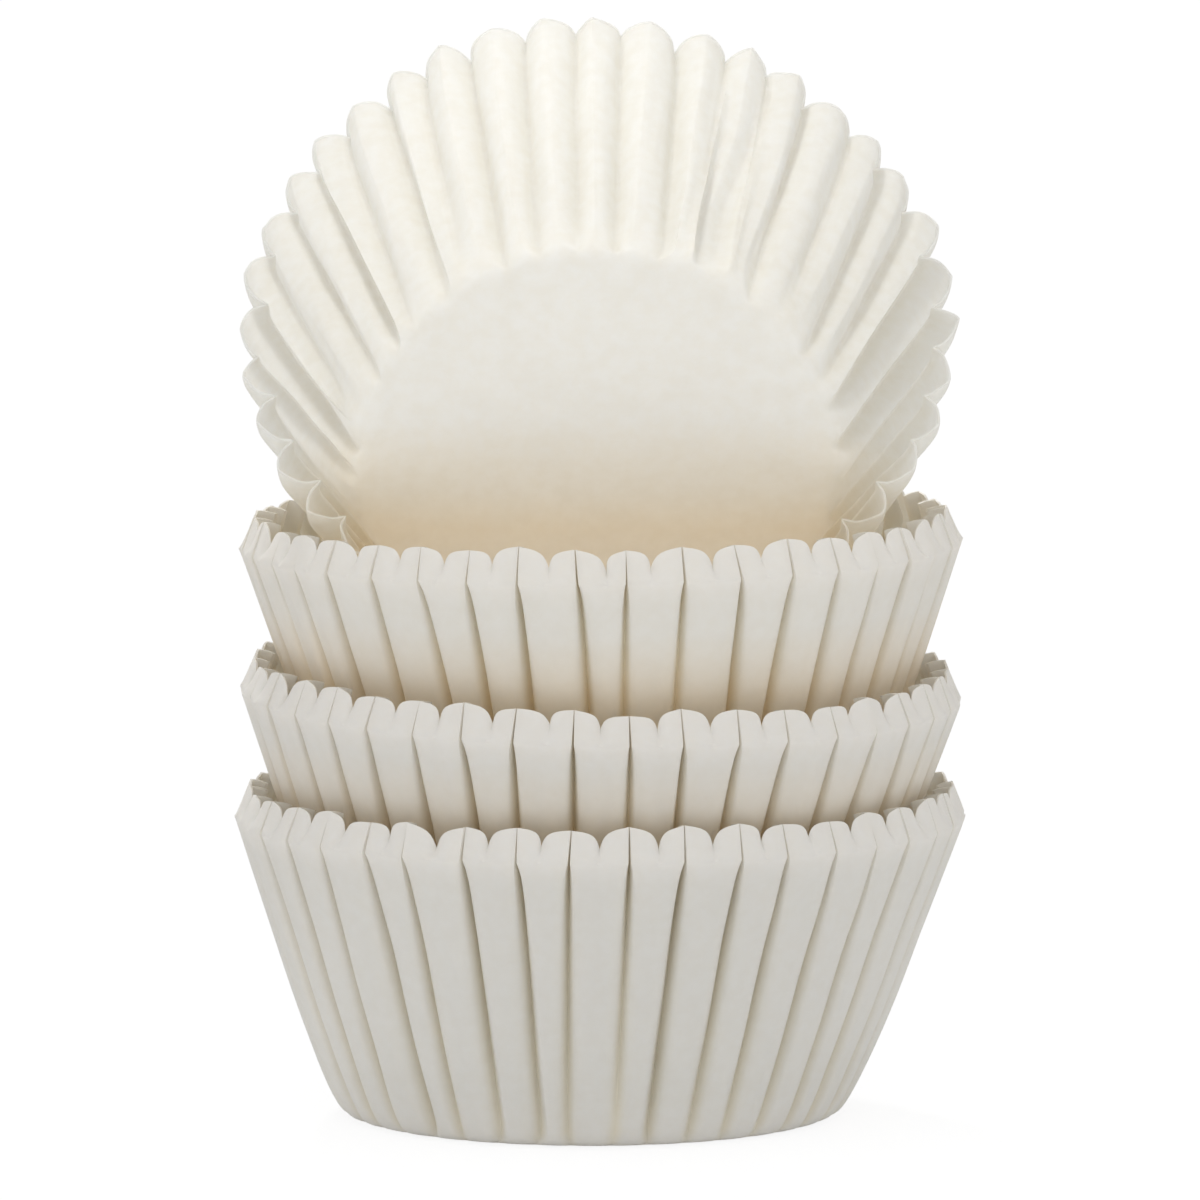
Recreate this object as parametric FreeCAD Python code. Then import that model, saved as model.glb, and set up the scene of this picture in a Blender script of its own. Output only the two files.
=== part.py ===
import FreeCAD, Part
import math
import os

from FreeCAD import Placement, Rotation, Vector

# A stack of four pleated paper baking cups, in millimetres with Z up.
# Three stand nested in each other, and the fourth lies tipped back in the mouth of the top one.
# The origin is the middle of the bottom cup's flat underside, and the front of the stack is -Y.

# The cups are alike: a flat round floor, a wall of pleats that deepen upwards, and a short lip
# where the outer ridge of each pleat leans in again. Every cup is one folded sheet.
SIZES = {
    "pleats": 40,
    "paper": 0.25,
    "floor_radius": 25.0,
    "waist_height": 12.4,
    "waist_ridge_radius": 30.2,
    "waist_fold_radius": 28.2,
    "waist_valley_mouth": 1.3,
    "waist_shoulder_drop": 0.45,
    "bend_height": 30.2,
    "bend_ridge_radius": 36.3,
    "bend_fold_radius": 32.8,
    "bend_valley_mouth": 1.2,
    "bend_shoulder_drop": 0.8,
    "rim_height": 33.5,
    "rim_ridge_radius": 35.6,
    "rim_fold_radius": 32.8,
    "rim_valley_mouth": 0.6,
    "rim_shoulder_drop": 0.5,
    "rim_crown_drop": 0.4,
    "notch_depth": 1.6,
    "notch_width": 1.0,
    "crown_share": 0.5,
    "bottom_spread": 0.8,
    "tipped_notch_depth": 0.8,
    "seat_gap": 0.3,
    "second_shift_x": -0.5,
    "second_shift_y": 0.3,
    "second_lean": 1.6,
    "second_roll": 1.0,
    "third_shift_x": 0.7,
    "third_shift_y": -0.2,
    "third_lean": 0.0,
    "third_roll": -0.8,
    "tipped_lean": 58.6,
    "tipped_back": 22.3,
    "tipped_shift_x": -0.3,
    "tipped_gap": 0.15,
    "tipped_accuracy": 0.01,
}

# The levels of the wall that have sizes of their own.
LEVELS = ("waist", "bend", "rim")

# Where each point of a pleat lies, from one inner fold (0) to the next (1).
FOLD, LEFT_SHOULDER, LEFT_CROWN, RIDGE, RIGHT_CROWN, RIGHT_SHOULDER = 0, 0.2, 0.35, 0.5, 0.65, 0.8


def make_sheet(doc):
    """Keep the driving dimensions in a spreadsheet, one named cell each."""
    sheet = doc.addObject("Spreadsheet::Sheet", "Sizes")
    for row, (name, value) in enumerate(SIZES.items(), start=1):
        sheet.set(f"A{row}", name)
        sheet.set(f"B{row}", str(value))
        sheet.setAlias(f"B{row}", name)
    doc.recompute()
    return sheet


def read_sizes(sheet):
    """Read every named cell back as a number."""
    size = {name: float(sheet.get(name)) for name in SIZES}
    size["pleats"] = round(size["pleats"])
    size["half_pitch"] = math.pi / size["pleats"]
    return size


def ridge_points(size, height, ridge_radius, shoulder_drop, valley_mouth, inset):
    """Give the shoulders and crown of one ridge, which points along +X, at one height."""
    shoulder_radius = ridge_radius - shoulder_drop
    shoulder = shoulder_radius * math.tan(size["half_pitch"]) - valley_mouth / 2 - inset
    crown = shoulder * size["crown_share"]
    return [
        (LEFT_SHOULDER, Vector(shoulder_radius - inset, -shoulder, height)),
        (LEFT_CROWN, Vector(ridge_radius - inset, -crown, height)),
        (RIGHT_CROWN, Vector(ridge_radius - inset, crown, height)),
        (RIGHT_SHOULDER, Vector(shoulder_radius - inset, shoulder, height)),
    ]


def fold_point(size, height, radius):
    """Give the inner fold before a ridge that points along +X."""
    across = Vector(radius, 0, height)
    return (FOLD, turned(across, -size["half_pitch"]))


def turned(point, angle):
    """Turn a point about the cup's axis."""
    return Rotation(Vector(0, 0, 1), math.degrees(angle)).multVec(point)


def floor_ring(size, inset):
    """Give the edge of the floor, where the pleats have run out."""
    radius = size["floor_radius"] - inset
    return [fold_point(size, inset, radius), (RIDGE, Vector(radius, 0, inset))]


def wall_ring(size, level, inset):
    """Give one pleat of the wall at the waist or at the bend below the lip."""
    height = size[level + "_height"]
    ridge = ridge_points(size, height, size[level + "_ridge_radius"], size[level + "_shoulder_drop"],
                         size[level + "_valley_mouth"], inset)
    return [fold_point(size, height, size[level + "_fold_radius"] - inset)] + ridge


def rim_ring(size, inset):
    """Give one pleat of the cut edge: high over the folds, with a notch in each ridge."""
    ridge = ridge_points(size, size["rim_height"], size["rim_ridge_radius"],
                         size["rim_shoulder_drop"], size["rim_valley_mouth"], inset)
    crown_height = size["rim_height"] - size["rim_crown_drop"]
    crown_radius = size["rim_ridge_radius"] - inset
    left, right = ridge[0], ridge[-1]
    half_notch = size["notch_width"] / 2
    notch = [
        (LEFT_CROWN, Vector(crown_radius, -half_notch, crown_height)),
        (RIDGE, Vector(crown_radius, 0, size["rim_height"] - size["notch_depth"])),
        (RIGHT_CROWN, Vector(crown_radius, half_notch, crown_height)),
    ]
    fold = fold_point(size, size["rim_height"], size["rim_fold_radius"] - inset)
    return [fold, left] + notch + [right]


def facets_between(size, first, second):
    """Join one pleat of two rings with flat facets, going from fold to fold."""
    pitch = 2 * size["half_pitch"]
    first = first + [(1, turned(first[0][1], pitch))]
    second = second + [(1, turned(second[0][1], pitch))]
    facets = []
    near, far = 0, 0
    while near + 1 < len(first) or far + 1 < len(second):
        far_left = far + 1 < len(second)
        step_near = near + 1 < len(first) and not (far_left and second[far + 1][0] < first[near + 1][0])
        corner = first[near + 1][1] if step_near else second[far + 1][1]
        corners = [first[near][1], corner, second[far][1]]
        facets.append(Part.Face(Part.makePolygon(corners + corners[:1])))
        near, far = (near + 1, far) if step_near else (near, far + 1)
    return facets


def floor_face(size, ring):
    """Close a floor ring with one flat face."""
    pitch = 2 * size["half_pitch"]
    corners = [turned(point, pleat * pitch) for pleat in range(size["pleats"]) for _, point in ring]
    return Part.Face(Part.makePolygon(corners + corners[:1]))


def cup_shape(size):
    """Fold one cup: the skin of a pleat from underside to rim and down inside, all the way round."""
    paper = size["paper"]
    rings = [
        floor_ring(size, 0),
        wall_ring(size, "waist", 0),
        wall_ring(size, "bend", 0),
        rim_ring(size, 0),
        rim_ring(size, paper),
        wall_ring(size, "bend", paper),
        wall_ring(size, "waist", paper),
        floor_ring(size, paper),
    ]
    pleat = [facet for pair in zip(rings, rings[1:]) for facet in facets_between(size, *pair)]
    pitch_degrees = 360 / size["pleats"]
    faces = [floor_face(size, rings[0]), floor_face(size, rings[-1])]
    for number in range(size["pleats"]):
        turn = Placement(Vector(), Rotation(Vector(0, 0, 1), number * pitch_degrees))
        for facet in pleat:
            face = facet.copy()
            face.Placement = turn
            faces.append(face)
    shell = Part.makeCompound(faces)
    shell.sewShape()
    cup = Part.Solid(shell.Shells[0])
    if cup.Volume < 0:
        cup.reverse()
    return cup


def profile(size, level_radius):
    """Give the radius and height of the wall at each level, from the floor up."""
    floor = [(size["floor_radius"], 0)]
    return floor + [(level_radius(size, level), size[level + "_height"]) for level in LEVELS]


def widest(size, level):
    """Give the radius that a level of the wall reaches out to."""
    return max(size[level + "_ridge_radius"], size[level + "_fold_radius"])


def narrowest(size, level):
    """Give the radius that a level of the wall comes in to."""
    return min(size[level + "_ridge_radius"] - size[level + "_shoulder_drop"], size[level + "_fold_radius"])


def height_at(levels, radius):
    """Say how high up a wall first reaches a radius: its top if it never does."""
    if radius <= levels[0][0]:
        return levels[0][1]
    for (low_radius, low), (high_radius, high) in zip(levels, levels[1:]):
        if radius <= high_radius:
            return low + (radius - low_radius) * (high - low) / (high_radius - low_radius)
    return levels[-1][1]


def nest_step(lower, upper):
    """Say how far one cup stands above the next, where its ridges meet the folds of the wall below."""
    room = lower["paper"] + lower["seat_gap"]
    inside = [(radius - room, height) for radius, height in profile(lower, narrowest)]
    outside = profile(upper, widest)
    steps = [height - height_at(outside, radius) for radius, height in inside]
    steps += [height_at(inside, radius) - height for radius, height in outside]
    return max(steps)


def cup_pose(x, y, z, lean, roll, turn):
    """Place a cup by the middle of its floor, leaning to the front and rolled to the right."""
    tilt = Rotation(Vector(1, 0, 0), lean) * Rotation(Vector(0, 1, 0), roll)
    return Placement(Vector(x, y, z), tilt * Rotation(Vector(0, 0, 1), turn))


def half_section(size, height):
    """Give the outside of half a pleat at a height, from its ridge to its fold, with X along the ridge."""
    levels = [floor_ring(size, 0), wall_ring(size, "waist", 0), wall_ring(size, "bend", 0), rim_ring(size, 0)]
    sections = []
    for ring in levels:
        fold = ring[0][1]
        corners = [point for _, point in ring if point.y > 0] or [ring[-1][1]] * 2
        sections.append(corners + [Vector(fold.x, -fold.y, fold.z)])
    for low, high in zip(sections, sections[1:]):
        if height <= high[-1].z:
            break
    share = (height - low[-1].z) / (high[-1].z - low[-1].z)
    corners = [a + (b - a) * share for a, b in zip(low, high)]
    return [Vector(x, y, 0) for x, y in [(corners[0].x, 0)] + [(point.x, point.y) for point in corners]]


def room_beside(size, local):
    """Say how far a point lies outside the pleated wall, or inside it if that is below zero."""
    pitch = 2 * size["half_pitch"]
    angle = math.atan2(local.y, local.x)
    angle = abs(angle - round(angle / pitch) * pitch)
    radius = math.hypot(local.x, local.y)
    point = Vector(radius * math.cos(angle), radius * math.sin(angle), 0)
    section = half_section(size, local.z)
    nearest = min(zip(section, section[1:]), key=lambda side: point.distanceToLineSegment(*side).Length)
    outside = (nearest[1] - nearest[0]).cross(point - nearest[0]).z < 0
    distance = point.distanceToLineSegment(*nearest).Length
    return distance if outside else -distance


def room_around(size, local):
    """Say how far a point lies outside a cup, taken as solid, in the cup's own frame."""
    radius = math.hypot(local.x, local.y)
    if local.z > size["rim_height"]:
        return math.hypot(local.z - size["rim_height"], max(0, radius - size["rim_ridge_radius"]))
    if local.z < 0:
        return math.hypot(local.z, max(0, radius - size["floor_radius"]))
    return room_beside(size, local)


def rim_points(size, pose):
    """Give the points of a cup's cut edge, inside and outside, with one more between each two."""
    pitch = 2 * size["half_pitch"]
    points = []
    for ring in (rim_ring(size, 0), rim_ring(size, size["paper"])):
        edge = [turned(point, number * pitch) for number in range(size["pleats"]) for _, point in ring]
        points += edge + [(a + b) / 2 for a, b in zip(edge, edge[1:] + edge[:1])]
    return [pose.multVec(point) for point in points]


def tipped_pose(size, carrier):
    """Lower the tipped cup until it lies just clear of the rim that carries it."""
    rim = rim_points(size, carrier)
    low = carrier.Base.z + size["floor_radius"]
    high = low + 2 * size["bend_ridge_radius"]
    while high - low > size["tipped_accuracy"]:
        middle = (low + high) / 2
        pose = cup_pose(size["tipped_shift_x"], size["tipped_back"], middle, size["tipped_lean"], 0, 90)
        into_cup = pose.inverse()
        if min(room_around(size, into_cup.multVec(point)) for point in rim) < size["tipped_gap"]:
            low = middle
        else:
            high = middle
    return pose


def spread_cup(size, amount):
    """Give the sizes of a cup that is opened by an amount at its rim, and less further down."""
    cup = dict(size)
    for level in LEVELS:
        share = size[level + "_height"] / size["rim_height"]
        cup[level + "_ridge_radius"] += amount * share
        cup[level + "_fold_radius"] += amount * share
    return cup


def cup_sizes(size):
    """Give each cup its own sizes: the bottom one is spread, and the tipped one's ridges are rounder."""
    return {
        "bottom_liner": spread_cup(size, size["bottom_spread"]),
        "second_liner": size,
        "third_liner": size,
        "tipped_liner": dict(size, notch_depth=size["tipped_notch_depth"]),
    }


def cup_poses(size, cups):
    """Place the four cups, each on the one below, with its pleats between the pleats there."""
    second_height = nest_step(cups["bottom_liner"], size)
    third_height = second_height + nest_step(size, size)
    third = cup_pose(size["third_shift_x"], size["third_shift_y"], third_height,
                     size["third_lean"], size["third_roll"], -90)
    return {
        "bottom_liner": cup_pose(0, 0, 0, 0, 0, -90),
        "second_liner": cup_pose(size["second_shift_x"], size["second_shift_y"], second_height,
                                 size["second_lean"], size["second_roll"], -90),
        "third_liner": third,
        "tipped_liner": tipped_pose(size, third),
    }


def check(doc, cups):
    """Stop with a plain message if anything in the document failed."""
    for item in doc.Objects:
        if "Invalid" in item.State or "Error" in item.State:
            raise RuntimeError(item.Label + " failed")
    for cup in cups:
        if cup.Shape.isNull() or not cup.Shape.isValid() or cup.Shape.Volume <= 0:
            raise RuntimeError(cup.Label + " has no good shape")


def main():
    doc = FreeCAD.newDocument("LinerStack")
    size = read_sizes(make_sheet(doc))
    sizes = cup_sizes(size)
    cups = []
    for label, pose in cup_poses(size, sizes).items():
        cup = doc.addObject("Part::Feature", label)
        cup.Label = label
        cup.Shape = cup_shape(sizes[label])
        cup.Placement = pose
        cups.append(cup)
    doc.recompute()
    check(doc, cups)
    os.makedirs("parts", exist_ok=True)
    for cup in cups:
        cup.Shape.exportStep("parts/" + cup.Label + ".step")
        print(cup.Label, len(cup.Shape.Faces), round(cup.Shape.Volume), cup.Placement.Base)


main()
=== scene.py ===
import math

import bmesh
import bpy
import numpy as np
from mathutils import Matrix, Vector


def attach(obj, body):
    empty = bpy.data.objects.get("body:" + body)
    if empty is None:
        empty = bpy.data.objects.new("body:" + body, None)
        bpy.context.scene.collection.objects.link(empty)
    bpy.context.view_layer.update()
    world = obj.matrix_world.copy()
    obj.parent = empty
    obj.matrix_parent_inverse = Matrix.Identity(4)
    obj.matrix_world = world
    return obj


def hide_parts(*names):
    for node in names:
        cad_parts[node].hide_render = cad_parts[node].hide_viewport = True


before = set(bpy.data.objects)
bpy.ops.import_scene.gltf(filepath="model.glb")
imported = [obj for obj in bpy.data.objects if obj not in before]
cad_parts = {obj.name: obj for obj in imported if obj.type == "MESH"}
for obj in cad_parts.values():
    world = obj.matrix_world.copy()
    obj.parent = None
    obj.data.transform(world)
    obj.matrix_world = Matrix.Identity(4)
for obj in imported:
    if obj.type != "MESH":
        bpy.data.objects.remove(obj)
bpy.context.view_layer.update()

# A stack of four pleated paper baking cups. The CAD nodes give their size and place, and each is
# replaced by a cup of thin paper with soft, uneven pleats. The frame is in metres. Lengths in the
# tables are in millimetres, and MM turns them into metres.
MM = 0.001
PLEATS = 40
PAPER = 0.2 * MM
LINERS = ("bottom_liner", "second_liner", "third_liner", "tipped_liner")

# Each cup starts as a cage with eight columns of points a pleat, from one ridge to the next.
RIDGE, CROWN, SHOULDER, FLANK, FOLD = range(5)
COLUMN_KINDS = (RIDGE, CROWN, SHOULDER, FLANK, FOLD, FLANK, SHOULDER, CROWN)
COLUMNS = len(COLUMN_KINDS)
HALF_PITCH = math.pi / PLEATS

# The radius of the floor, up to where the wall starts.
FLOOR_RADIUS = 23.0
# The wall's levels, from the foot to the cut edge: height, radius of the ridges, radius of the folds
# between them, width of the valley's mouth, and how far the shoulders drop below the ridge.
STANDING_WALL = (
    (0.00, 24.7, 24.4, 1.6, 0.05),
    (1.00, 25.9, 24.9, 1.7, 0.10),
    (5.00, 27.6, 26.1, 1.6, 0.18),
    (12.4, 30.4, 28.5, 1.4, 0.24),
    (21.0, 33.4, 31.3, 1.2, 0.28),
    (28.8, 36.0, 33.7, 0.85, 0.28),
    (30.3, 36.5, 33.8, 0.20, 0.20),
    (33.5, 35.0, 33.0, 0.02, 0.02),
)
TIPPED_WALL = (
    (0.00, 24.7, 24.5, 1.8, 0.05),
    (1.00, 25.9, 24.9, 1.9, 0.25),
    (5.00, 27.6, 25.8, 2.0, 0.60),
    (12.4, 30.4, 27.9, 1.9, 0.95),
    (21.0, 33.2, 30.6, 1.8, 1.10),
    (28.0, 35.4, 32.8, 1.7, 1.15),
    (31.0, 36.1, 33.6, 1.6, 1.10),
    (33.5, 36.3, 33.9, 1.5, 1.10),
)
LAST_LEVEL = len(STANDING_WALL) - 1
# The level of the bend below a standing cup's lip, and the one where the valleys' mouths get sharp.
BEND_LEVEL = 6
SHARP_LEVEL = 4
# How far each column of the cut edge stands above the last level.
STANDING_EDGE = {RIDGE: -1.65, CROWN: -0.12, SHOULDER: 0.12, FLANK: -0.05, FOLD: -0.4}
TIPPED_EDGE = {RIDGE: 0.0, CROWN: -0.05, SHOULDER: -0.25, FLANK: -0.5, FOLD: -0.6}

# The two kinds of cup. The crown at the cut edge is a share of the way from the ridge to the
# shoulder, and a flank stands off its fold by a share of the valley's mouth. Looseness scales how
# uneven the pleats are, and a share of them is flat at the foot. The last three are for the paper:
# how much painted warm shade each fold gets, the share of light that comes through, and the colour
# of that light.
# The standing cups are the same paper as the tipped one, but let less light through: a shaded copy, so
# that less light glows through the nested cups.
STANDING = {
    "wall": STANDING_WALL, "edge": STANDING_EDGE, "has_lip": True,
    "edge_crown": 0.15, "flank": 0.12, "looseness": 1.0, "flat_pleats": 0.1,
    "fold_shade_amount": 1.0, "through": 0.38, "glow": (0.99, 0.95, 0.87, 1),
}
TIPPED = {
    "wall": TIPPED_WALL, "edge": TIPPED_EDGE, "has_lip": False,
    "edge_crown": 0.5, "flank": 0.2, "looseness": 1.4, "flat_pleats": 0.3,
    "fold_shade_amount": 0.3, "through": 0.64, "glow": (0.99, 0.985, 0.965, 1),
}
# Below the cut edge, the crown is this share of the way to the shoulder, and has this share of its
# drop. The flanks stand this share of the pleat's depth above the fold.
CROWN_PLACE = 0.55
CROWN_DROP = 0.32
FLANK_HEIGHT = 0.3

# How sharp the creases are, from 0, soft, to 1, sharp.
BEND_CREASE = 0.6
MOUTH_CREASE = 0.45
LIP_CREASE = 0.9
FIRM_RIDGE_CREASE = 0.75
SOFT_RIDGE_CREASE = 0.35
CORNER_CREASE = 1.0

# How far each column turns with its fold, and how far it moves in and out with it.
TURNS = {RIDGE: 0.0, CROWN: 0.5, SHOULDER: 0.95, FLANK: 1.0, FOLD: 1.0}
DEPTHS = {RIDGE: 0.0, CROWN: 0.1, SHOULDER: 0.25, FLANK: 0.7, FOLD: 1.0}
# How much pleats differ, as the spread of a random draw. Turns round the cup are in radians, for
# the cut edge and for the foot.
RIDGE_TURN_TOP = 0.006
FOLD_TURN_TOP = 0.008
RIDGE_TURN_FOOT = 0.012
FOLD_TURN_FOOT = 0.022
RIDGE_OUT = 0.12
FOLD_OUT_TOP = 0.28
FOLD_OUT_FOOT = 0.38
FOLD_OUT_SHARE = 0.8
# The fold of a flat pleat lies this much further out at the foot.
FLAT_PLEAT_OUT = 1.4
RIDGE_EDGE_RISE = 0.22
FOLD_EDGE_RISE = 0.16
FIRST_PLEAT_SEED = 11
# How far the smooth paper wanders, in how many waves, and between which radii that sets in.
WANDER = 0.06
WAVES = 14
STILL_RADIUS = 24
FREE_RADIUS = 28
FIRST_PAPER_SEED = 50

# Painted warm shade: how much each column gets, by how deep in a fold it is, and the share of that
# which is left at the foot and the edge.
FOLD_SHADE_MARKS = {RIDGE: 0.0, CROWN: 0.0, SHOULDER: 0.15, FLANK: 0.8, FOLD: 1.0}
FOOT_SHADE_SHARE = 0.3
EDGE_SHADE_SHARE = 0.2
# How much painted light the foot of the wall gets, where the white table lights it from below,
# where 1 is the most painted light that a cup gets.
FOOT_PAINTED_LIGHT = 0.7

# Where the middle of each cup's floor is, and its lean to the front and roll to the right in degrees.
POSES = {
    "bottom_liner": (0, 0, 0, 0, 0),
    "second_liner": (-0.5, 0.3, 12.784, 1.6, 1.0),
    "third_liner": (0.7, -0.2, 27.902, 0.0, -0.8),
    "tipped_liner": (-0.3, 22.3, 63.563, 58.6, 0),
}
# How far each rim bows from round: a mean, then waves of a count, an amount and a phase.
BOWS = {
    "bottom_liner": (0.0, ((2, 0.15, 0.4), (3, 0.10, 1.0))),
    "second_liner": (0.0, ((2, 0.15, 2.4), (3, 0.10, 3.0))),
    "third_liner": (0.0, ((2, 0.15, 1.4), (3, 0.10, 5.0))),
    "tipped_liner": (-0.85, ((2, 0.60, 1.57), (4, 0.25, 1.57), (3, 0.12, 2.0))),
}
# Heights in the stack, and how much painted warm shade each cup's paper gets there, standing in
# for the dimmer, warmer light that comes through several layers of paper where the cups nest.
NEST_SHADE_BANDS = {
    "bottom_liner": ((10.0, 0.0), (20.0, 0.0)),
    "second_liner": ((33.0, 0.9), (35.5, 0.45), (40.0, 0.0)),
    "third_liner": ((46.0, 0.9), (49.0, 0.45), (53.0, 0.0)),
    "tipped_liner": ((50.0, 0.15), (54.0, 0.75), (57.5, 0.85), (61.0, 0.4), (68.0, 0.0)),
}
BAND_TOP = 100
# The tipped cup's crushed pleats: for each level, how far the ridge went in and to one side.
CRUSHED = {
    16: {4: (0.2, -0.4), 3: (0.9, -0.3), 2: (0.5, 0.4)},
    17: {5: (0.3, 0.2), 4: (1.2, -0.5), 3: (2.5, 0.5), 2: (1.5, 0.8), 1: (0.6, 0.5)},
}
# Heights of the bottom cup and how far it swells there, and how far its floor sits to one side.
BOTTOM_SWELL = ((0, 0.15), (5, 0.45), (12.4, 0.6), (21, 0.6), (33.5, 0.8))
BOTTOM_SHIFT = -0.9

# The paper's own colour, a paler colour for painted light, and the tints that it is multiplied by:
# its own cloudiness, and painted warm shade in each fold and where the cups nest.
BODY_COLOUR = (0.90, 0.905, 0.89, 1)
PAINTED_LIGHT_COLOUR = (0.975, 0.975, 0.965, 1)
CLOUD_TINT = (1.0, 0.995, 0.985, 1)
FOLD_SHADE_TINT = (0.98, 0.935, 0.82, 1)
NEST_SHADE_TINT = (1.0, 0.935, 0.83, 1)
GLOW_CLOUD_TINT = (0.965, 0.955, 0.935, 1)
GLOW_NEST_SHADE_TINT = (1.0, 0.91, 0.76, 1)
WHITE = (1, 1, 1, 1)
TABLE_COLOUR = (0.9, 0.9, 0.9, 1)
# The share of the white ground that the camera sees without any shadow on it.
CLEAN_GROUND = 0.8
GROUND_BRIGHTNESS = 1.05
# The colour sockets of a Mix node, which have the same names as its other sockets.
MIX_A, MIX_B, MIX_RESULT = 6, 7, 2


def deselect():
    """Leave nothing selected, in object mode."""
    if bpy.context.object and bpy.context.object.mode != "OBJECT":
        bpy.ops.object.mode_set(mode="OBJECT")
    bpy.ops.object.select_all(action="DESELECT")


def make_active(piece):
    """Select one piece alone."""
    deselect()
    piece.select_set(True)
    bpy.context.view_layer.objects.active = piece


def points_of(piece):
    """Give a mesh's vertices as an array of points."""
    flat = np.empty(len(piece.data.vertices) * 3)
    piece.data.vertices.foreach_get("co", flat)
    return flat.reshape(-1, 3)


def set_points(piece, points):
    """Move a mesh's vertices to an array of points."""
    piece.data.vertices.foreach_set("co", points.ravel())
    piece.data.update()


def pick(piece, wanted):
    """Select the vertices that an array of truths names, in edit mode."""
    bpy.ops.mesh.select_all(action="DESELECT")
    cage = bmesh.from_edit_mesh(piece.data)
    for vertex in cage.verts:
        if wanted[vertex.index]:
            vertex.select_set(True)
    cage.select_flush(True)
    bmesh.update_edit_mesh(piece.data)


def plain_cup(name, wall):
    """Raise a round cup from a ring, with one more ring of vertices for each level of the wall."""
    deselect()
    bpy.ops.mesh.primitive_circle_add(
        vertices=PLEATS * COLUMNS, radius=FLOOR_RADIUS * MM, fill_type="NOTHING")
    cup = bpy.context.object
    cup.name = name
    bpy.ops.object.mode_set(mode="EDIT")
    bpy.ops.mesh.select_all(action="SELECT")
    height, radius = 0, FLOOR_RADIUS
    for level in wall:
        rise, spread = level[0] - height, level[1] / radius
        bpy.ops.mesh.extrude_edges_move(TRANSFORM_OT_translate={"value": (0, 0, rise * MM)})
        bpy.ops.transform.resize(value=(spread, spread, 1), center_override=(0, 0, 0))
        height, radius = level[0], level[1]
    bpy.ops.object.mode_set(mode="OBJECT")
    return cup


def cage_places(cup, wall):
    """Say which level, pleat and column each vertex is in. The floor's ring is level -1."""
    points = points_of(cup)
    radii = np.array([FLOOR_RADIUS] + [level[1] for level in wall]) * MM
    level = np.abs(np.hypot(points[:, 0], points[:, 1])[:, None] - radii).argmin(axis=1) - 1
    turn = np.degrees(np.arctan2(points[:, 1], points[:, 0])) + 90
    column = np.rint(turn / 360 * PLEATS * COLUMNS).astype(int) % (PLEATS * COLUMNS)
    return level, column // COLUMNS, column % COLUMNS


def ridge_of(pleat, column):
    """Say which ridge is nearest: a pleat's own, or the next one past its fold."""
    return (pleat + (column > COLUMNS // 2)) % PLEATS


def fold_pleats(cup, places, kind):
    """Press the pleats into a plain cup, level by level and column by column."""
    level_of, _, column_of = places
    make_active(cup)
    bpy.ops.object.mode_set(mode="EDIT")
    bpy.ops.mesh.select_mode(type="VERT")
    for number, (_, ridge, fold, mouth, drop) in enumerate(kind["wall"]):
        at_edge = number == LAST_LEVEL
        shoulder = HALF_PITCH - mouth / 2 / ridge
        crown = shoulder * (kind["edge_crown"] if at_edge else CROWN_PLACE)
        flank = HALF_PITCH - mouth * kind["flank"] / ridge
        targets = {
            RIDGE: (0, ridge),
            CROWN: (crown, ridge - drop * CROWN_DROP),
            SHOULDER: (shoulder, ridge - drop),
            FLANK: (flank, fold + (ridge - fold) * FLANK_HEIGHT),
            FOLD: (HALF_PITCH, fold),
        }
        for column, part in enumerate(COLUMN_KINDS):
            side = 1 if column <= COLUMNS // 2 else -1
            plain = min(column, COLUMNS - column) * 2 * math.pi / PLEATS / COLUMNS
            turn, radius = targets[part]
            scale = radius / ridge
            angle = -side * (turn - plain)
            pick(cup, (level_of == number) & (column_of == column))
            bpy.ops.transform.resize(value=(scale, scale, 1), center_override=(0, 0, 0))
            bpy.ops.transform.rotate(value=angle, orient_axis="Z", center_override=(0, 0, 0))
            if at_edge:
                bpy.ops.transform.translate(value=(0, 0, kind["edge"][part] * MM))
    bpy.ops.object.mode_set(mode="OBJECT")


def crease_cage(cup, places, kind):
    """Crease the cage: a lip's bend and valleys, or the ridges, and the corners of the cut edge."""
    level, pleat, column = places
    crease = cup.data.attributes.new("crease_edge", "FLOAT", "EDGE")
    corner_column = 0 if kind["has_lip"] else COLUMNS // 2
    for edge in cup.data.edges:
        start, end = edge.vertices
        low, high = sorted((level[start], level[end]))
        upright = column[start] == column[end]
        sharpness = 0.0
        if kind["has_lip"] and low == high == BEND_LEVEL:
            sharpness = BEND_CREASE
        if kind["has_lip"] and upright and COLUMN_KINDS[column[start]] == SHOULDER and low >= SHARP_LEVEL:
            sharpness = LIP_CREASE if high == LAST_LEVEL else MOUTH_CREASE
        if not kind["has_lip"] and upright and column[start] == 0 and low >= 1:
            sharpness = FIRM_RIDGE_CREASE if pleat[start] % 3 else SOFT_RIDGE_CREASE
        if upright and low < high == LAST_LEVEL and column[start] == corner_column:
            sharpness = CORNER_CREASE
        crease.data[edge.index].value = sharpness


def liner_cage(name, kind):
    """Make the cage of one kind of cup, and say where each of its vertices is."""
    cup = plain_cup(name, kind["wall"])
    places = cage_places(cup, kind["wall"])
    fold_pleats(cup, places, kind)
    crease_cage(cup, places, kind)
    return cup, places


def copy_of(piece):
    """Copy a piece with a mesh of its own."""
    twin = piece.copy()
    twin.data = piece.data.copy()
    bpy.context.scene.collection.objects.link(twin)
    return twin


def draw_pleats(random, spread):
    """Draw one random value for each pleat."""
    return random.normal(0, spread, PLEATS)


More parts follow.
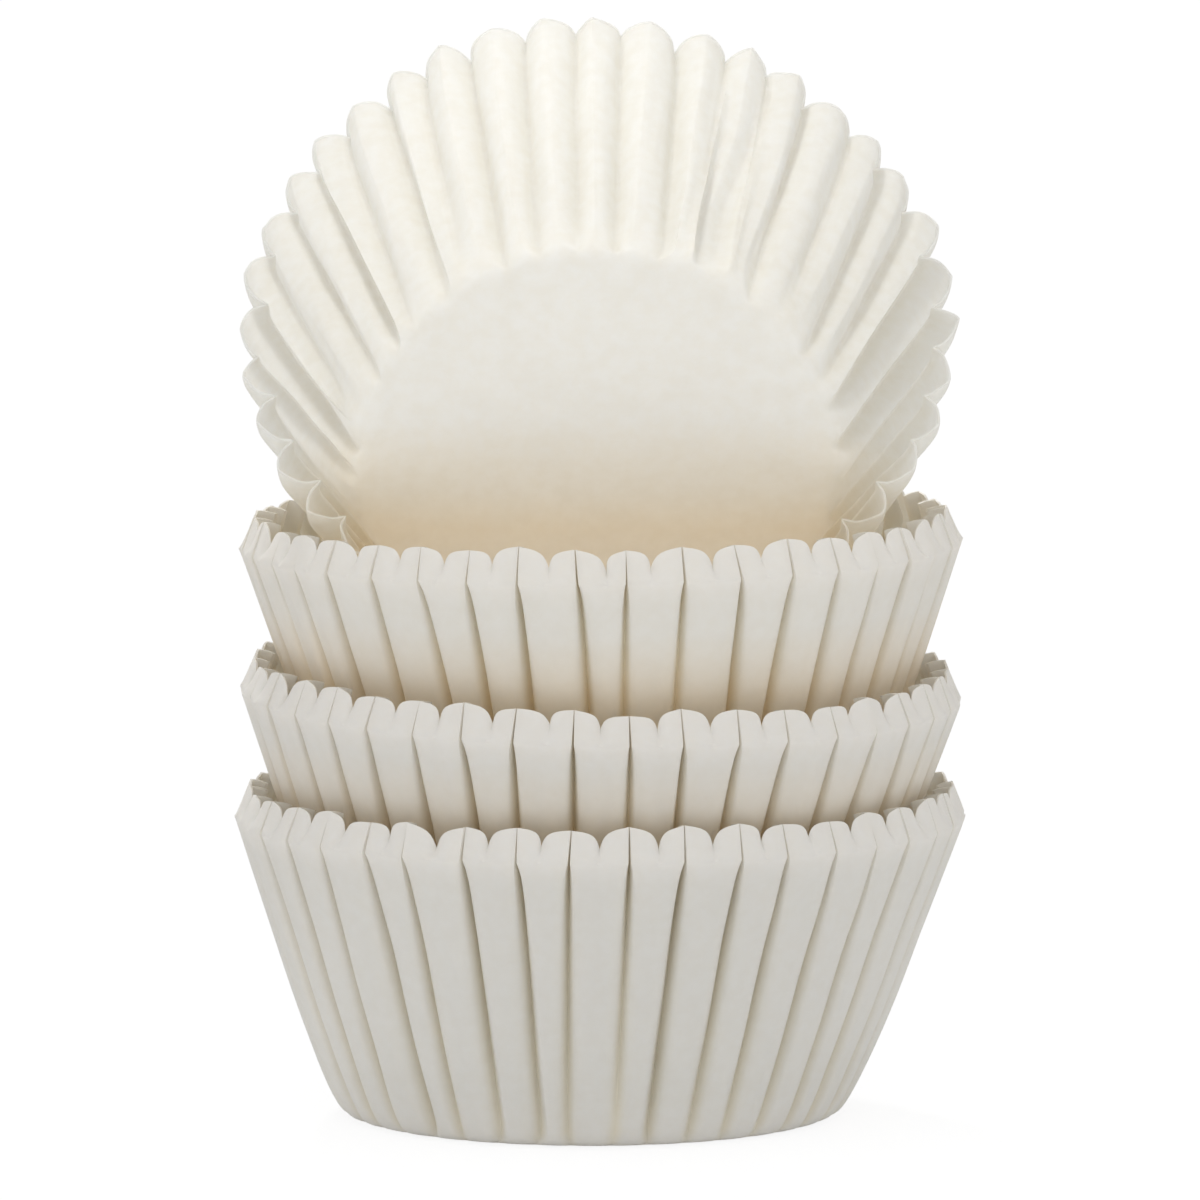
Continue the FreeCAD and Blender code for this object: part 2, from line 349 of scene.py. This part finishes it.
def make_uneven(cup, places, kind, seed, bow):
    """Give each pleat its own width, depth, edge and lean, as pressed paper has."""
    level, pleat, column = places
    random = np.random.default_rng(seed)
    points = points_of(cup)
    radius = np.hypot(points[:, 0], points[:, 1])
    turn = np.arctan2(points[:, 1], points[:, 0])
    up = np.clip(level, 0, None) / LAST_LEVEL
    wall = (level > 0).astype(float)
    at_edge = (level == LAST_LEVEL).astype(float)
    ridge = ridge_of(pleat, column)
    turns = np.array([TURNS[COLUMN_KINDS[place]] for place in column])
    depths = np.array([DEPTHS[COLUMN_KINDS[place]] for place in column])

    top_ridge = draw_pleats(random, RIDGE_TURN_TOP)
    top_fold = draw_pleats(random, FOLD_TURN_TOP)
    foot_ridge = draw_pleats(random, RIDGE_TURN_FOOT)
    foot_fold = draw_pleats(random, FOLD_TURN_FOOT)
    ridge_turn = top_ridge[ridge] * up + foot_ridge[ridge] * (1 - up)
    fold_turn = top_fold[pleat] * up + foot_fold[pleat] * (1 - up)
    turn = turn + kind["looseness"] * wall * (ridge_turn * (1 - turns) + fold_turn * turns)

    ridge_out = draw_pleats(random, RIDGE_OUT)[ridge]
    foot_out = draw_pleats(random, FOLD_OUT_FOOT)
    foot_out = foot_out + FLAT_PLEAT_OUT * (random.random(PLEATS) < kind["flat_pleats"])
    top_out = draw_pleats(random, FOLD_OUT_TOP)
    fold_out = top_out[pleat] * up + foot_out[pleat] * (1 - up)
    out = ridge_out * (1 - depths) + fold_out * depths * FOLD_OUT_SHARE
    radius = radius + kind["looseness"] * wall * MM * out
    mean, waves = bow
    wave = mean + sum(amount * np.sin(count * turn + phase) for count, amount, phase in waves)
    radius = radius + wall * up * MM * wave

    edge_ridge = draw_pleats(random, RIDGE_EDGE_RISE)
    edge_fold = draw_pleats(random, FOLD_EDGE_RISE)
    rise = edge_ridge[ridge] * (1 - turns) + edge_fold[pleat] * turns
    points[:, 2] += at_edge * rise * MM
    points[:, 0] = radius * np.cos(turn)
    points[:, 1] = radius * np.sin(turn)
    set_points(cup, points)


def mark_light_and_shade(cup, places, kind):
    """Mark each point's painted warm shade, by how deep in a fold it is, and its painted light."""
    level, _, column = places
    # Painted warm shade, most deep in a fold, less at the foot and the edge.
    depth = np.array([FOLD_SHADE_MARKS[COLUMN_KINDS[place]] for place in column])
    depth[level < 1] *= FOOT_SHADE_SHARE
    depth[level == LAST_LEVEL] *= EDGE_SHADE_SHARE
    mark = cup.data.attributes.new("painted_fold_shade", "FLOAT", "POINT")
    mark.data.foreach_set("value", depth * kind["fold_shade_amount"])
    # Painted light: a standing cup is lightest in its lip, where the pleats lie doubled and lean in to
    # face the light above. The tipped cup has no lip, and is lightest on its floor. The foot of the wall
    # gets a share of it.
    lightest = level >= BEND_LEVEL if kind["has_lip"] else level < 0
    foot = (level >= 0) & (level <= 1)
    mark = cup.data.attributes.new("painted_light", "FLOAT", "POINT")
    mark.data.foreach_set("value", np.where(lightest, 1.0, FOOT_PAINTED_LIGHT * foot))


def dent(cup, places, pleat_number, amounts):
    """Crush one pleat: each amount moves one level of its ridge, in and round, in millimetres."""
    level, pleat, column = places
    points = points_of(cup)
    near = np.minimum(column, COLUMNS - column) <= SHOULDER
    ridge = ridge_of(pleat, column)
    for number, (inward, sideways) in amounts.items():
        hit = near & (ridge == pleat_number) & (level == number)
        radius = np.hypot(points[hit, 0], points[hit, 1])
        turn = np.arctan2(points[hit, 1], points[hit, 0]) + sideways * MM / radius
        radius = radius - inward * MM
        points[hit, 0] = radius * np.cos(turn)
        points[hit, 1] = radius * np.sin(turn)
    set_points(cup, points)


def settle(cup, swell, shift):
    """Swell a cup by an amount at each height, and let its floor sit a little to one side."""
    heights, outward = zip(*swell)
    points = points_of(cup)
    height = points[:, 2] / MM
    radius = np.hypot(points[:, 0], points[:, 1])
    scale = 1 + np.interp(height, heights, outward) * MM / radius
    points[:, :2] *= scale[:, None]
    points[:, 0] += shift * MM * (1 - height / heights[-1])
    set_points(cup, points)


def add_modifier(piece, kind, **settings):
    """Add a modifier with these settings and apply it."""
    make_active(piece)
    modifier = piece.modifiers.new(kind.title(), kind)
    for name, value in settings.items():
        setattr(modifier, name, value)
    bpy.ops.object.modifier_apply(modifier=modifier.name)


def close_floor(cup):
    """Fill the floor inside its ring, and turn every face outwards."""
    lowest, margin = 0.01 * MM, 0.25 * MM
    make_active(cup)
    points = points_of(cup)
    middle = points[points[:, 2] < lowest].mean(axis=0)
    bpy.ops.object.mode_set(mode="EDIT")
    bpy.ops.mesh.select_mode(type="VERT")
    pick(cup, np.hypot(*(points - middle)[:, :2].T) < FLOOR_RADIUS * MM + margin)
    bpy.ops.mesh.edge_face_add()
    bpy.ops.mesh.select_all(action="SELECT")
    bpy.ops.mesh.normals_make_consistent(inside=False)
    bpy.ops.object.mode_set(mode="OBJECT")


def soften(cup, seed):
    """Let the smooth paper wander a little, as a sheet that isn't quite flat does."""
    random = np.random.default_rng(seed)
    points = points_of(cup)
    radius = np.hypot(points[:, 0], points[:, 1])
    turn = np.arctan2(points[:, 1], points[:, 0])
    wander = np.zeros(len(points))
    for _ in range(WAVES):
        around = random.uniform(25, 90)
        along = random.uniform(60, 420)
        phase = random.uniform(0, 6.28)
        wander += np.sin(np.rint(around) * turn + along * points[:, 2] + phase)
    free = np.clip((radius / MM - STILL_RADIUS) / (FREE_RADIUS - STILL_RADIUS), 0, 1)
    wander *= WANDER * MM / math.sqrt(WAVES) * free
    points[:, 0] += wander * np.cos(turn)
    points[:, 1] += wander * np.sin(turn)
    set_points(cup, points)


def cup_pose(x, y, z, lean, roll):
    """Place a cup by the middle of its floor, leaning to the front and rolled to the right."""
    tilt = Matrix.Rotation(math.radians(lean), 4, "X") @ Matrix.Rotation(math.radians(roll), 4, "Y")
    return Matrix.Translation(Vector((x, y, z)) * MM) @ tilt


def finish_cup(cup, node, paper):
    """Set a cup in place, give the sheet its thickness and paper, and hand it to the frame."""
    cup.name = "paper_" + node
    make_active(cup)
    cup.data.transform(cup_pose(*POSES[node]))
    add_modifier(cup, "SOLIDIFY", thickness=PAPER, offset=-1)
    bpy.ops.object.shade_smooth_by_angle(angle=math.radians(50))
    cup.data.materials.clear()
    cup.data.materials.append(paper)
    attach(cup, "root")
    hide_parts(node)


def add_node(tree, kind, x=0, y=0, **inputs):
    """Add a shader node and set its inputs by name, with _ for a space."""
    added = tree.nodes.new("ShaderNode" + kind)
    added.location = (x, y)
    for name, value in inputs.items():
        added.inputs[name.replace("_", " ")].default_value = value
    return added


def attribute(tree, name, x, y):
    """Give the value that the mesh stores for each point under a name."""
    stored = add_node(tree, "Attribute", x, y)
    stored.attribute_name = name
    return stored.outputs["Fac"]


def mixed(tree, share, base, colour, blend, x, y):
    """Mix a colour into a base colour, by the share that a socket gives."""
    mix = add_node(tree, "Mix", x, y)
    mix.data_type = "RGBA"
    mix.blend_type = blend
    mix.inputs[MIX_B].default_value = colour
    tree.links.new(share, mix.inputs[0])
    if isinstance(base, tuple):
        mix.inputs[MIX_A].default_value = base
    else:
        tree.links.new(base, mix.inputs[MIX_A])
    return mix.outputs[MIX_RESULT]


def cloudiness(tree, place):
    """Give the uneven thickness of paper: cloudy patches, as shares from 0 to 1."""
    clouds = add_node(tree, "TexNoise", -700, 100, Scale=700.0, Detail=4.0, Roughness=0.6)
    shares = add_node(tree, "MapRange", -500, 100, From_Min=0.35, From_Max=0.65)
    tree.links.new(place, clouds.inputs["Vector"])
    tree.links.new(clouds.outputs["Fac"], shares.inputs["Value"])
    return shares.outputs["Result"]


def painted_nest_shade(tree, place, bands):
    """Give the painted warm shade at the heights just above a rim, where light comes through several
    layers of paper.
    """
    axes = add_node(tree, "SeparateXYZ", -700, 500)
    heights = add_node(tree, "MapRange", -500, 500, From_Max=BAND_TOP * MM)
    band = add_node(tree, "ValToRGB", -300, 500)
    ramp = band.color_ramp
    (first, first_share), (last, last_share) = bands[0], bands[-1]
    for stop, height, share in ((0, first, first_share), (1, last, last_share)):
        ramp.elements[stop].position = height / BAND_TOP
        ramp.elements[stop].color = (share, share, share, 1)
    for height, share in bands[1:-1]:
        ramp.elements.new(height / BAND_TOP).color = (share, share, share, 1)
    tree.links.new(place, axes.inputs[0])
    tree.links.new(axes.outputs["Z"], heights.inputs["Value"])
    tree.links.new(heights.outputs["Result"], band.inputs[0])
    return band.outputs[0]


def paper_material(name, kind, bands):
    """Thin greaseproof paper: near white, faintly fibrous, with painted warm shade in each fold and
    where it nests, and painted light where it is paler.
    """
    material = bpy.data.materials.new(name)
    material.use_nodes = True
    tree = material.node_tree
    tree.nodes.clear()
    output = add_node(tree, "OutputMaterial", 900, 0)
    blend = add_node(tree, "MixShader", 700, 0, Fac=kind["through"])
    place = add_node(tree, "TexCoord", -900, 0).outputs["Object"]
    crease_shade = attribute(tree, "painted_fold_shade", -300, 300)
    pale_share = attribute(tree, "painted_light", -500, 300)
    nesting_shade = painted_nest_shade(tree, place, bands)
    clouds = cloudiness(tree, place)

    front = add_node(tree, "BsdfPrincipled", 400, 100, Roughness=0.5, Specular_IOR_Level=0.3,
                     Sheen_Weight=0.05, Sheen_Roughness=0.4)
    # Painted light, where the paper is paler.
    colour = mixed(tree, pale_share, BODY_COLOUR, PAINTED_LIGHT_COLOUR, "MIX", -100, 300)
    colour = mixed(tree, clouds, colour, CLOUD_TINT, "MULTIPLY", 100, 200)
    # Painted warm shade in each fold.
    colour = mixed(tree, crease_shade, colour, FOLD_SHADE_TINT, "MULTIPLY", 100, 100)
    # Painted warm shade where the cups nest.
    colour = mixed(tree, nesting_shade, colour, NEST_SHADE_TINT, "MULTIPLY", 100, 0)
    tree.links.new(colour, front.inputs["Base Color"])

    through = add_node(tree, "BsdfTranslucent", 400, -300)
    glow = mixed(tree, clouds, kind["glow"], GLOW_CLOUD_TINT, "MULTIPLY", 100, -200)
    # The light that comes through gets a painted warm tint where the cups nest.
    glow = mixed(tree, nesting_shade, glow, GLOW_NEST_SHADE_TINT, "MULTIPLY", 100, -300)
    tree.links.new(glow, through.inputs["Color"])

    fibres = add_node(tree, "TexNoise", -300, -500, Scale=3200.0, Detail=3.0, Roughness=0.7,
                      Distortion=1.5)
    grain = add_node(tree, "Bump", 100, -500, Strength=0.10, Distance=0.1 * MM)
    tree.links.new(place, fibres.inputs["Vector"])
    tree.links.new(fibres.outputs["Fac"], grain.inputs["Height"])
    for shader in (front, through):
        tree.links.new(grain.outputs["Normal"], shader.inputs["Normal"])
    tree.links.new(front.outputs[0], blend.inputs[1])
    tree.links.new(through.outputs[0], blend.inputs[2])
    tree.links.new(blend.outputs[0], output.inputs[0])
    return material


def make_floor(light):
    """Lay a lit table that the camera sees as the photo's white ground, with a faint shadow."""
    deselect()
    bpy.ops.mesh.primitive_plane_add(size=60, location=(0, 0, -0.1 * MM))
    floor = bpy.context.object
    floor.name = "floor"
    material = bpy.data.materials.new("white_ground")
    material.use_nodes = True
    tree = material.node_tree
    tree.nodes.clear()
    output = add_node(tree, "OutputMaterial", 900, 0)
    blend = add_node(tree, "MixShader", 700, 0)
    lit = add_node(tree, "AddShader", 500, 100)
    paint = add_node(tree, "BsdfDiffuse", 200, 200, Color=TABLE_COLOUR)
    table = add_node(tree, "Emission", 200, 50, Strength=light)
    shown = add_node(tree, "Emission", 200, -100, Strength=GROUND_BRIGHTNESS)
    path = add_node(tree, "LightPath", -200, 300)
    share = add_node(tree, "Math", 200, 400)
    share.operation = "MULTIPLY"
    share.inputs[1].default_value = CLEAN_GROUND
    tree.links.new(path.outputs["Is Camera Ray"], share.inputs[0])
    tree.links.new(share.outputs[0], blend.inputs[0])
    tree.links.new(paint.outputs[0], lit.inputs[0])
    tree.links.new(table.outputs[0], lit.inputs[1])
    tree.links.new(lit.outputs[0], blend.inputs[1])
    tree.links.new(shown.outputs[0], blend.inputs[2])
    tree.links.new(blend.outputs[0], output.inputs[0])
    floor.data.materials.append(material)


def light_world(brightness):
    """Surround the stack with even, soft white light, and show plain white behind it."""
    world = bpy.data.worlds.new("studio")
    world.use_nodes = True
    tree = world.node_tree
    tree.nodes.clear()
    output = add_node(tree, "OutputWorld", 600, 0)
    blend = add_node(tree, "MixShader", 400, 0)
    light = add_node(tree, "Background", 100, 100, Color=WHITE, Strength=brightness)
    shown = add_node(tree, "Background", 100, -100, Color=WHITE, Strength=1.0)
    path = add_node(tree, "LightPath", 100, 400)
    tree.links.new(path.outputs["Is Camera Ray"], blend.inputs[0])
    tree.links.new(light.outputs[0], blend.inputs[1])
    tree.links.new(shown.outputs[0], blend.inputs[2])
    tree.links.new(blend.outputs[0], output.inputs[0])
    bpy.context.scene.world = world


def direction(azimuth, elevation):
    """Give the way from the stack to a lamp or camera: azimuth 0 is the front, 90 the right."""
    turn, up = math.radians(azimuth), math.radians(elevation)
    return Vector((math.sin(turn) * math.cos(up), -math.cos(turn) * math.cos(up), math.sin(up)))


def set_up(name, device, way, target=(0, 0, 0), distance=0.0):
    """Put a lamp or camera in the scene, this way and distance from a target that it faces."""
    holder = bpy.data.objects.new(name, device)
    holder.location = Vector(target) + distance * way
    holder.rotation_euler = way.to_track_quat("Z", "Y").to_euler()
    bpy.context.scene.collection.objects.link(holder)
    return holder


def add_sun(name, azimuth, elevation, strength, softness):
    """Add a sun, whose softness is the angle in degrees that its light spreads over."""
    lamp = bpy.data.lights.new(name, "SUN")
    lamp.energy = strength
    lamp.angle = math.radians(softness)
    set_up(name, lamp, direction(azimuth, elevation))


def add_spot(name, azimuth, elevation, target, distance, power, cone, size):
    """Add a soft spot that lights the tipped cup's wall from behind, and little else."""
    lamp = bpy.data.lights.new(name, "SPOT")
    lamp.energy = power
    lamp.spot_size = math.radians(cone)
    lamp.spot_blend = 0.7
    lamp.shadow_soft_size = size
    set_up(name, lamp, direction(azimuth, elevation), Vector(target) * MM, distance)


def add_camera(distance, elevation, target_height, view_angle):
    """Look at the stack from the front, as the photo does."""
    camera = bpy.data.cameras.new("camera")
    camera.sensor_fit = "HORIZONTAL"
    camera.angle = math.radians(view_angle)
    camera.clip_end = 100
    target = (0, 0, target_height)
    seat = set_up("camera", camera, direction(0, elevation), target, distance)
    bpy.context.scene.camera = seat


bpy.context.scene.view_settings.view_transform = "Standard"
standing = liner_cage("standing", STANDING)
tipped = liner_cage("tipped", TIPPED)
for number, name in enumerate(LINERS):
    leaning = name == "tipped_liner"
    kind = TIPPED if leaning else STANDING
    cage, places = tipped if leaning else standing
    cup = copy_of(cage)
    make_uneven(cup, places, kind, FIRST_PLEAT_SEED + number, BOWS[name])
    mark_light_and_shade(cup, places, kind)
    if leaning:
        for pleat_number, amounts in CRUSHED.items():
            dent(cup, places, pleat_number, amounts)
    if name == "bottom_liner":
        settle(cup, BOTTOM_SWELL, BOTTOM_SHIFT)
    add_modifier(cup, "SUBSURF", levels=2, render_levels=2, boundary_smooth="PRESERVE_CORNERS")
    close_floor(cup)
    soften(cup, FIRST_PAPER_SEED + number)
    paper = paper_material("greaseproof_paper_" + name, kind, NEST_SHADE_BANDS[name])
    finish_cup(cup, name, paper)
for cage, _ in (standing, tipped):
    bpy.data.objects.remove(cage)

make_floor(light=0.10)
light_world(brightness=0.72)
add_spot("back_lamp", azimuth=-166, elevation=42, target=(-1, 5, 88), distance=0.6,
         power=11.5, cone=14, size=0.06)
add_sun("front_lamp", azimuth=-4, elevation=60, strength=0.5, softness=60)
add_camera(distance=1.6, elevation=6.82, target_height=0.05235, view_angle=4.361)
